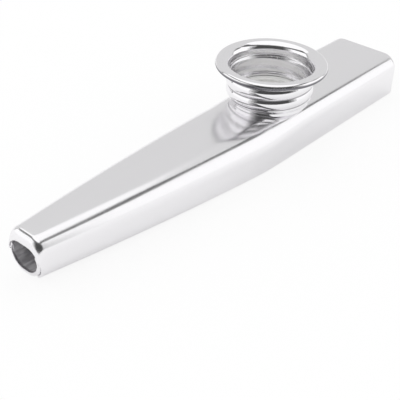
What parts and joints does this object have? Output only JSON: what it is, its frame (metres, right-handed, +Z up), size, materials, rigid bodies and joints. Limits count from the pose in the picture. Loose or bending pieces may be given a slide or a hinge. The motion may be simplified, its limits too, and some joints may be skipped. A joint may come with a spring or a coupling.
{
  "type": "kazoo",
  "caption": "Polished sheet-metal kazoo: tapered two-shell body with a rolled mouth and an open rear, and a threaded turret whose flanged screw cap holds a vibrating membrane.",
  "frame": {"origin": "under the middle of the body, on the surface it rests on", "axes": "+X from the mouth to the rear outlet, +Z up along the turret's axis, +Y across the body"},
  "size_m": [0.12, 0.0266, 0.0209],
  "materials": {
    "shell": "bright polished sheet",
    "turret": "bright polished, rolled thread",
    "membrane_ring": "satin white moulded rim",
    "membrane_film": "thin milky film"
  },
  "bodies": {
    "body": {"upper_shell": "shell", "lower_shell": "shell", "turret_collar": "turret"},
    "membrane": {"membrane_ring": "membrane_ring", "membrane_film": "membrane_film"},
    "cap": {"screw_cap": "turret"}
  },
  "joints": [
    {"name": "cap_turn", "type": "hinge", "parent": "body", "child": "membrane", "pos_m": [0.01545, 0, 0.01195], "axis": [0, 0, 1], "range_deg": [0, 720]},
    {"name": "cap_rise", "type": "slide", "parent": "membrane", "child": "cap", "axis": [0, 0, 1], "range_m": [0, 0.0054]}
  ],
  "couplings": [
    {"joint": "cap_rise", "follows": "cap_turn", "m_per_rad": 0.00042972}
  ]
}
